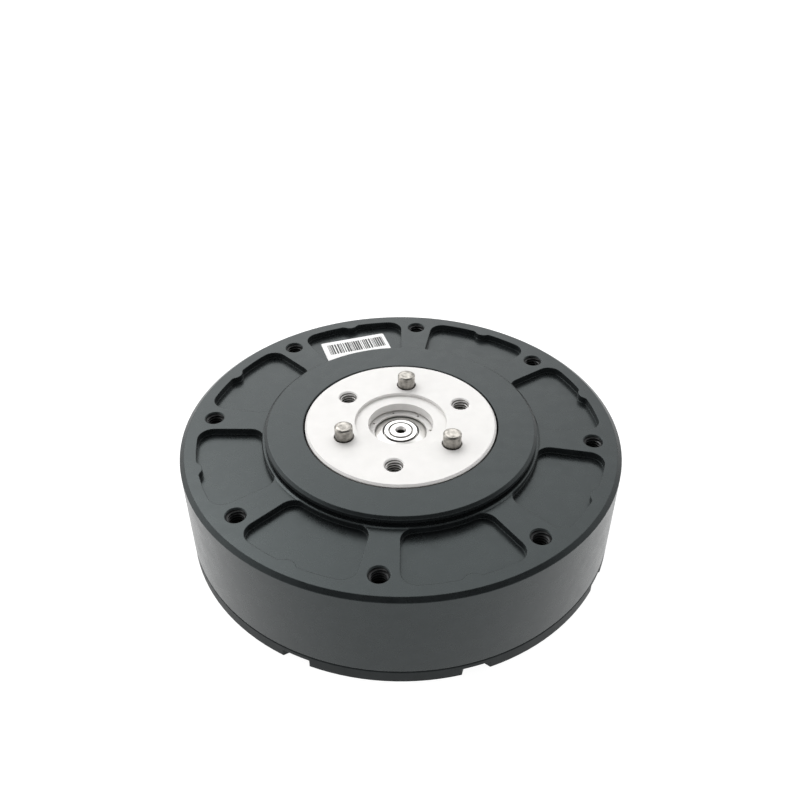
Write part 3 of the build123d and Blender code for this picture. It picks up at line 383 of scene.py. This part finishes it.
THREAD_PITCH = 0.7 * MM
THREAD_STEPS = 40
THREAD_DEPTH = 0.36 * MM
THREAD_HALF_FOOT = THREAD_PITCH * 0.42
THREAD_HALF_CREST = THREAD_PITCH * 0.08
THREAD_OVERLAP = 0.02 * MM
THREAD_FIRST_TURN = 0.75
THREAD_FADE_STEPS = 12
THREAD_LEAST = 0.02


def thread_mesh(centres, radius, mouth, depth):
    """Internal threads: in each hole one helical ridge, whose foot is sunk in the hole's wall."""
    corners, faces, crests = [], [], []
    root = radius + THREAD_OVERLAP
    turns = (depth - 2 * THREAD_PITCH) / THREAD_PITCH
    steps = int(turns * THREAD_STEPS)
    for x, y in centres:
        start = len(corners)
        for k in range(steps + 1):
            angle = 2 * math.pi * k / THREAD_STEPS
            fade = min(1, k / THREAD_FADE_STEPS, (steps - k) / THREAD_FADE_STEPS)
            height = mouth - THREAD_PITCH * (THREAD_FIRST_TURN + k / THREAD_STEPS)
            crest = radius - THREAD_DEPTH * max(fade, THREAD_LEAST)
            section = ((root, THREAD_HALF_FOOT, 0.0), (crest, THREAD_HALF_CREST, 1.0),
                       (crest, -THREAD_HALF_CREST, 1.0), (root, -THREAD_HALF_FOOT, 0.0))
            for r, offset, crest_share in section:
                corners.append((x + r * math.cos(angle), y + r * math.sin(angle), height + offset))
                crests.append(crest_share)
        for k in range(steps):
            a, b = start + 4 * k, start + 4 * (k + 1)
            for side in range(4):
                following = (side + 1) % 4
                faces.append((a + side, a + following, b + following, b + side))
        last = start + 4 * steps
        faces.append((start + 3, start + 2, start + 1, start))
        faces.append((last, last + 1, last + 2, last + 3))
    mesh = mesh_from("thread", corners, faces)
    mesh.attributes.new("crest", "FLOAT", "POINT").data.foreach_set("value", crests)
    return mesh


def hole_centres(dims, first_degrees):
    """Centres of a bolt pattern's holes."""
    radius = dims["pcd_mm"] / 2 * MM
    angles = [math.radians(first_degrees + 360 / dims["count"] * k) for k in range(dims["count"])]
    return [(radius * math.cos(a), radius * math.sin(a)) for a in angles]


# The first hole of each pattern, in degrees about Z
FIRST_RIM_HOLE = 84.5
FIRST_OUTPUT_HOLE = 24.4
RIM_HOLE_DEPTH = 5.0 * MM
OUTPUT_HOLE_DEPTH = 6.5 * MM


def cut_holes(name, mount, first_degrees, depth, body, material):
    """Threads for every hole of a bolt pattern, as one piece."""
    dims = mount["dims"]
    centres = hole_centres(dims, first_degrees)
    mesh = thread_mesh(centres, dims["hole_r_mm"] * MM, mount["pos_m"][2], depth)
    add_piece(name, mesh, body, material)


def threads():
    # second colour of each thread: painted shade in its root
    black = cut_thread("black_thread", (0.06, 0.062, 0.064), (0.002, 0.002, 0.002))
    cut_holes("rim_threads", MOUNTS["rim_bolts"], FIRST_RIM_HOLE, RIM_HOLE_DEPTH,
              "housing", black)
    silver = cut_thread("silver_thread", (0.84, 0.83, 0.81), (0.035, 0.03, 0.026))
    cut_holes("output_threads", MOUNTS["output_bolts"], FIRST_OUTPUT_HOLE, OUTPUT_HOLE_DEPTH,
              "output", silver)


HALF_RIB_PITCH = 22.5
LABEL_TURN = 0.9
LABEL_ANGLE = FIRST_RIM_HOLE + HALF_RIB_PITCH + LABEL_TURN
LABEL_WIDTH = 9.5 * MM
BAR_COUNT = 29
BAR_SPAN = 14.7 * MM
BAR_LENGTH = 4.4 * MM
BAR_MARGIN = 1.35 * MM
BAR_SHIFT = -0.22 * MM
BAR_HEIGHT = 0.012 * MM


def barcode():
    """Made-up bars one to three units wide, with gaps of one or two units between them."""
    low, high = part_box("barcode_label")
    centre = (low + high) / 2
    outwards = Matrix.Rotation(math.radians(LABEL_ANGLE), 4, "Z")
    place = Matrix.Translation((centre.x, centre.y, high.z)) @ outwards
    widths = [1 + (k * k * k + 5 * k * k + 3) % 11 // 4 for k in range(BAR_COUNT)]
    gaps = [1 + (k * k * 3 + k) % 13 // 9 for k in range(BAR_COUNT)]
    unit = BAR_SPAN / (sum(widths) + sum(gaps[:-1]))
    outer = LABEL_WIDTH / 2 - BAR_MARGIN
    across = BAR_SHIFT - BAR_SPAN / 2
    corners, faces = [], []
    for width, gap in zip(widths, gaps):
        start = len(corners)
        for z in (0, BAR_HEIGHT):
            for x, y in ((-1, 0), (0, 0), (0, 1), (-1, 1)):
                corners.append(place @ Vector((outer + x * BAR_LENGTH, across + y * width * unit, z)))
        faces += [tuple(start + i for i in face) for face in
                  ((3, 2, 1, 0), (4, 5, 6, 7), (0, 1, 5, 4), (1, 2, 6, 5), (2, 3, 7, 6), (3, 0, 4, 7))]
        across += (width + gap) * unit
    ink = plastic("label_ink", (0.02, 0.02, 0.022), 0.5, 0.3, 0.002, 0.01)
    add_piece("barcode_bars", mesh_from("bars", corners, faces), "housing", ink)


# Surroundings

FLOOR_SIZE = 6.0
FLOOR_GAP = 0.02 * MM
FLOOR_GLOW = 0.92


def floor():
    """Pale floor just under the part, lit from within so that it comes out plain white."""
    mesh = bpy.data.meshes.new("floor")
    form = bmesh.new()
    bmesh.ops.create_grid(form, x_segments=1, y_segments=1, size=FLOOR_SIZE / 2)
    form.to_mesh(mesh)
    form.free()
    piece = bpy.data.objects.new("floor", mesh)
    bpy.context.scene.collection.objects.link(piece)
    piece.location.z = cad_low.z - FLOOR_GAP
    recipe = Recipe("floor", (0.3, 0.3, 0.3), 0.9)
    recipe.mottle(60.0, 0.01)
    recipe.shader.inputs["Emission Color"].default_value = (1, 1, 1, 1)
    recipe.shader.inputs["Emission Strength"].default_value = FLOOR_GLOW
    mesh.materials.append(recipe.material)


def glow(tree, direction, towards, inner, outer, strength):
    """Soft round patch of light in the sky: full inside one angle from its middle, gone outside another."""
    dot = tree.nodes.new("ShaderNodeVectorMath")
    dot.operation = "DOT_PRODUCT"
    dot.inputs[1].default_value = Vector(towards).normalized()
    tree.links.new(direction, dot.inputs[0])
    fade = tree.nodes.new("ShaderNodeMapRange")
    fade.interpolation_type = "SMOOTHSTEP"
    fade.inputs["From Min"].default_value = math.cos(math.radians(outer))
    fade.inputs["From Max"].default_value = math.cos(math.radians(inner))
    fade.inputs["To Max"].default_value = strength
    tree.links.new(dot.outputs["Value"], fade.inputs["Value"])
    return fade.outputs["Result"]


# Height of the view direction over which the sky fades, and its brightness at either end
HORIZON_FADE = (0.46, 0.74, 1.0, 0.05)

# Direction of each soft panel, its inner and outer angle in degrees, and its brightness
PANELS = (((-0.12, 0.56, 0.82), 16, 38, 2.3), ((-0.9, 0.1, 0.5), 10, 40, 0.8))


def world():
    """White round the horizon and dark overhead, with a bright panel on the far side and a dim one left."""
    made = bpy.data.worlds.new("studio")
    made.use_nodes = True
    bpy.context.scene.world = made
    tree = made.node_tree
    coords = tree.nodes.new("ShaderNodeTexCoord")
    direction = coords.outputs["Generated"]
    split = tree.nodes.new("ShaderNodeSeparateXYZ")
    tree.links.new(direction, split.inputs[0])
    horizon = tree.nodes.new("ShaderNodeMapRange")
    horizon.interpolation_type = "SMOOTHSTEP"
    for key, number in zip(RANGE_ENDS, HORIZON_FADE):
        horizon.inputs[key].default_value = number
    tree.links.new(split.outputs["Z"], horizon.inputs["Value"])
    total = horizon.outputs["Result"]
    for panel in PANELS:
        add = tree.nodes.new("ShaderNodeMath")
        tree.links.new(total, add.inputs[0])
        tree.links.new(glow(tree, direction, *panel), add.inputs[1])
        total = add.outputs["Value"]
    background = tree.nodes["Background"]
    background.inputs["Color"].default_value = (1, 1, 1, 1)
    tree.links.new(total, background.inputs["Strength"])


LIGHT_SIZE = 0.4


def area_light(name, place, target, power):
    """Round soft light aimed at a point."""
    data = bpy.data.lights.new(name, "AREA")
    data.shape = "DISK"
    data.size = LIGHT_SIZE
    data.energy = power
    light = bpy.data.objects.new(name, data)
    bpy.context.scene.collection.objects.link(light)
    light.location = place
    light.rotation_mode = "QUATERNION"
    light.rotation_quaternion = (Vector(target) - Vector(place)).to_track_quat("-Z", "Y")


def lights():
    middle = (cad_low + cad_high) / 2
    area_light("key", (-0.3, 0.35, 0.6), middle, 1.2)
    area_light("fill", (0.4, 0.3, 0.55), middle, 0.6)


CAMERA_ELEVATION = math.radians(37.2157)
CAMERA_DISTANCE = 192.514 * MM
CAMERA_RISE = 6.586 * MM
CAMERA_ASIDE = -0.170 * MM
CAMERA_LENS = 38.385
SENSOR_WIDTH = 36.0
NEAREST_SEEN = 5 * MM


def camera():
    """Camera over the near edge, aimed along its own line to a point a little above the front face."""
    data = bpy.data.cameras.new("camera")
    data.lens = CAMERA_LENS
    data.sensor_width = SENSOR_WIDTH
    data.clip_start = NEAREST_SEEN
    made = bpy.data.objects.new("camera", data)
    bpy.context.scene.collection.objects.link(made)
    back = Vector((0, -math.cos(CAMERA_ELEVATION), math.sin(CAMERA_ELEVATION)))
    right = Vector((1, 0, 0))
    up = back.cross(right)
    rim = Vector(MOUNTS["rim_bolts"]["pos_m"])
    made.location = rim + back * CAMERA_DISTANCE + up * CAMERA_RISE + right * CAMERA_ASIDE
    made.rotation_mode = "QUATERNION"
    made.rotation_quaternion = (-back).to_track_quat("-Z", "Y")
    bpy.context.scene.camera = made


dress_nodes()
threads()
barcode()
floor()
world()
lights()
camera()
bpy.context.scene.view_settings.view_transform = "Standard"
